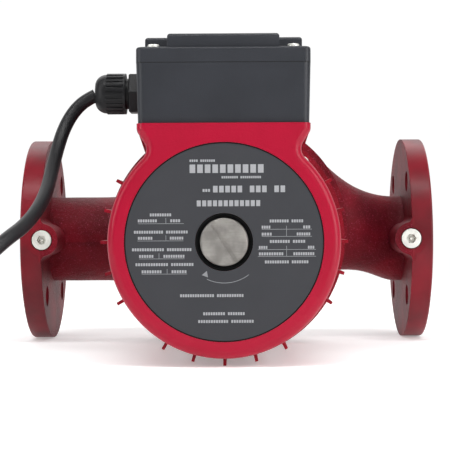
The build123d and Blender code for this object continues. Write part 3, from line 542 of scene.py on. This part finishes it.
def moulded(name, main, light, rough, grain=0.45 * MM, depth=0.05, shine=0.3, seam=None):
    """Plastic from a spark-eroded mould: a fine even grain, faint flow marks and, where a seam height is
    given, a painted shadow line at that height.
    """
    f = Finish(name, Specular_IOR_Level=shine, Coat_Roughness=0.3)
    grains = f.noise(grain, 2, 0.5)
    flow = f.noise(30 * MM, 4, 0.6)
    scuffs = f.noise(1.0, 3, 0.6, f.stretched((90, 420, 260)))
    tone = f.mix(flow.above(0.5, 0.25) * 0.5, main, light)
    tone = f.mix(scuffs.above(0.7, 0.05) * 0.2, tone, light)
    if seam:
        height = f.axis("Z")
        # Painted shadow: a dark band about half a millimetre tall at the seam height, standing in for the
        # shade in the gap between lid and base.
        seam_shadow = height.above(seam - 0.1 * MM, 0.1 * MM) * (1 - height.above(seam + 0.4 * MM, 0.1 * MM))
        tone = f.mix(seam_shadow * 0.8, tone, colour(12, 12, 13))
    return f.set(
        Base_Color=tone,
        Roughness=flow.to(rough - 0.05, rough + 0.07),
        Normal=f.bump(grains, depth * MM),
    )


def bare_metal(name, main, dark, rough, stretch=(60, 60, 2600), depth=0.02):
    """Turned or brushed metal with fine lines along its working direction."""
    f = Finish(name, Metallic=1.0, Specular_IOR_Level=0.5)
    lines = f.noise(1.0, 4, 0.65, f.stretched(stretch))
    patches = f.noise(9 * MM, 3, 0.5)
    tone = f.mix(patches.above(0.5, 0.22), main, dark)
    tone = f.mix(lines.above(0.56, 0.12) * 0.4, tone, dark)
    return f.set(
        Base_Color=tone,
        Roughness=lines.to(rough - 0.06, rough + 0.1),
        Normal=f.bump(lines, depth * MM),
    )


def plate_paint(name):
    """The matt printed face of the rating plate."""
    f = Finish(name, Specular_IOR_Level=0.3)
    weave = f.noise(0.35 * MM, 2, 0.5)
    patches = f.noise(24 * MM, 3, 0.5)
    return f.set(
        Base_Color=f.mix(patches, colour(46, 47, 51), colour(52, 53, 57)),
        Roughness=patches.to(0.5, 0.62),
        Normal=f.bump(weave, 0.02 * MM),
    )


def ink(name, tone):
    """Screen-printed ink, slightly broken where the plate's grain shows."""
    f = Finish(name, Specular_IOR_Level=0.3)
    breaks = f.noise(0.3 * MM, 3, 0.6)
    return f.set(
        Base_Color=f.mix(breaks.above(0.62, 0.06) * 0.5, tone, colour(96, 97, 100)),
        Roughness=breaks.to(0.5, 0.65),
    )


RIM_FROM = 0.1238
SEAM_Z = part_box("terminal_box_base")[1].z
FINISHES = {
    # In both cast paints the third colour is the painted glint colour on the grain tops, and the second
    # colour is used both for darker patches at random and for painted shade in the pit hollows.
    "cast_iron_paint": cast_paint(
        "cast_iron_paint", colour(124, 4, 26), colour(84, 1, 14), colour(170, 62, 90),
        0.9 * MM, 0.52, RIM_FROM
    ),
    "motor_paint": cast_paint(
        "motor_paint", colour(150, 4, 30), colour(112, 2, 20), colour(186, 60, 88), 0.6 * MM, 0.45
    ),
    "cover_paint": smooth_paint("cover_paint", colour(156, 2, 40), colour(144, 1, 34), 0.34),
    # seam=SEAM_Z paints the shadow line where the lid meets the base.
    "box_plastic": moulded("box_plastic", colour(37, 39, 44), colour(45, 47, 53), 0.42, seam=SEAM_Z),
    "black_plastic": moulded("black_plastic", colour(20, 20, 22), colour(30, 30, 32), 0.42, shine=0.22),
    "plate_print": plate_paint("plate_print"),
    "print_ink": ink("print_ink", colour(150, 151, 154)),
    "rule_ink": ink("rule_ink", colour(128, 129, 132)),
    "stainless": bare_metal("stainless", colour(176, 172, 167), colour(140, 137, 133), 0.36),
    "zinc_steel": bare_metal(
        "zinc_steel", colour(244, 244, 238), colour(214, 214, 208),
        0.5, (300, 300, 300)
    ),
    "rubber_black": moulded("rubber_black", colour(12, 12, 13), colour(20, 20, 21), 0.62, shine=0.15),
    "gasket_fibre": moulded("gasket_fibre", colour(96, 100, 92), colour(118, 120, 112), 0.8),
    "lamination": bare_metal("lamination", colour(130, 132, 136), colour(90, 92, 96), 0.45, (40, 3000, 40)),
    "copper_winding": bare_metal(
        "copper_winding", colour(196, 110, 62), colour(150, 74, 38),
        0.35, (500, 1600, 500)
    ),
    "aluminium": bare_metal("aluminium", colour(214, 214, 216), colour(176, 177, 180), 0.4, (200, 200, 200)),
    "carbon": moulded("carbon", colour(38, 38, 40), colour(52, 52, 55), 0.35),
    "composite": moulded("composite", colour(46, 43, 40), colour(62, 58, 54), 0.45),
    "bronze": bare_metal("bronze", colour(190, 150, 92), colour(150, 112, 62), 0.3),
    "brass": bare_metal("brass", colour(216, 184, 112), colour(176, 142, 76), 0.28, (300, 300, 300)),
    "white_plastic": moulded("white_plastic", colour(222, 222, 216), colour(232, 232, 228), 0.35),
    "cable_rubber": moulded(
        "cable_rubber", colour(20, 20, 22), colour(30, 30, 33),
        0.4, 0.6 * MM, 0.04, 0.28
    ),
}


def paint(piece, finish):
    piece.data.materials.clear()
    piece.data.materials.append(FINISHES[finish])


for subpart in frame["record"]["subparts"]:
    paint(NODES[subpart["node"]], subpart["material_slot"])
    if subpart["node"] in finished:
        paint(finished[subpart["node"]], subpart["material_slot"])
paint(mains_cable, "cable_rubber")
paint(plate_rows, "print_ink")
paint(plate_rules, "rule_ink")
paint(vent_shade_ring, "rubber_black")
paint(edge_line, "rubber_black")

# ------------------------------------------------------------------ studio


def make_studio():
    """A white sweep behind and above, dimmer towards the front, with soft boxes at the sides and overhead."""
    bpy.context.scene.view_settings.view_transform = "Standard"
    world = bpy.data.worlds.new("studio")
    bpy.context.scene.world = world
    world.use_nodes = True
    nodes, links = world.node_tree.nodes, world.node_tree.links
    direction = nodes.new("ShaderNodeTexCoord").outputs["Generated"]
    facing = nodes.new("ShaderNodeVectorMath")
    facing.operation = "DOT_PRODUCT"
    facing.inputs[1].default_value = (0, 1, 0.1)
    fade = nodes.new("ShaderNodeMapRange")
    fade.interpolation_type = "SMOOTHSTEP"
    for socket, value in (("From Min", 0.1), ("From Max", 0.75), ("To Min", 0.06), ("To Max", 1.02)):
        fade.inputs[socket].default_value = value
    links.new(direction, facing.inputs[0])
    links.new(facing.outputs["Value"], fade.inputs["Value"])
    brighter = nodes.new("ShaderNodeMath")
    brighter.operation = "MAXIMUM"
    links.new(fade.outputs["Result"], brighter.inputs[0])
    links.new(nodes.new("ShaderNodeLightPath").outputs["Is Camera Ray"], brighter.inputs[1])
    links.new(brighter.outputs["Value"], nodes["Background"].inputs["Strength"])
    nodes["Background"].inputs["Color"].default_value = (1, 1, 1, 1)
    floor = bpy.data.meshes.new("floor")
    bm = bmesh.new()
    bmesh.ops.create_grid(bm, x_segments=1, y_segments=1, size=1.0)
    bmesh.ops.translate(bm, verts=bm.verts, vec=(0, 0, FLOOR_Z - 0.0002))
    bm.to_mesh(floor)
    bm.free()
    floor_object = bpy.data.objects.new("floor", floor)
    bpy.context.scene.collection.objects.link(floor_object)
    pale = Finish("pale_floor", Roughness=0.9, Base_Color=(0.93, 0.93, 0.93, 1), Emission_Strength=0.3)
    pale.shader.inputs["Emission Color"].default_value = (1, 1, 1, 1)
    floor.materials.append(pale.material)
    lamps = [
        ("left_softbox", (-1.15, -0.75, 0.35), 0.5, 1.3, 9),
        ("right_softbox", (1.1, -0.85, 0.3), 0.6, 1.3, 14),
        ("top_strip", (0, -0.55, 0.95), 1.4, 0.16, 9),
        ("front_fill", (0.1, -1.9, 0.7), 1.4, 1.0, 5),
        ("back_fill", (0, 1.2, 1.6), 2.4, 1.2, 14),
    ]
    for name, place, width, height, power in lamps:
        light = bpy.data.lights.new(name, "AREA")
        light.shape = "RECTANGLE"
        light.size = width
        light.size_y = height
        light.energy = power
        lamp = bpy.data.objects.new(name, light)
        bpy.context.scene.collection.objects.link(lamp)
        lamp.location = place
        lamp.rotation_euler = (Vector((0, -0.08, 0.01)) - Vector(place)).to_track_quat("-Z", "Y").to_euler()


make_studio()
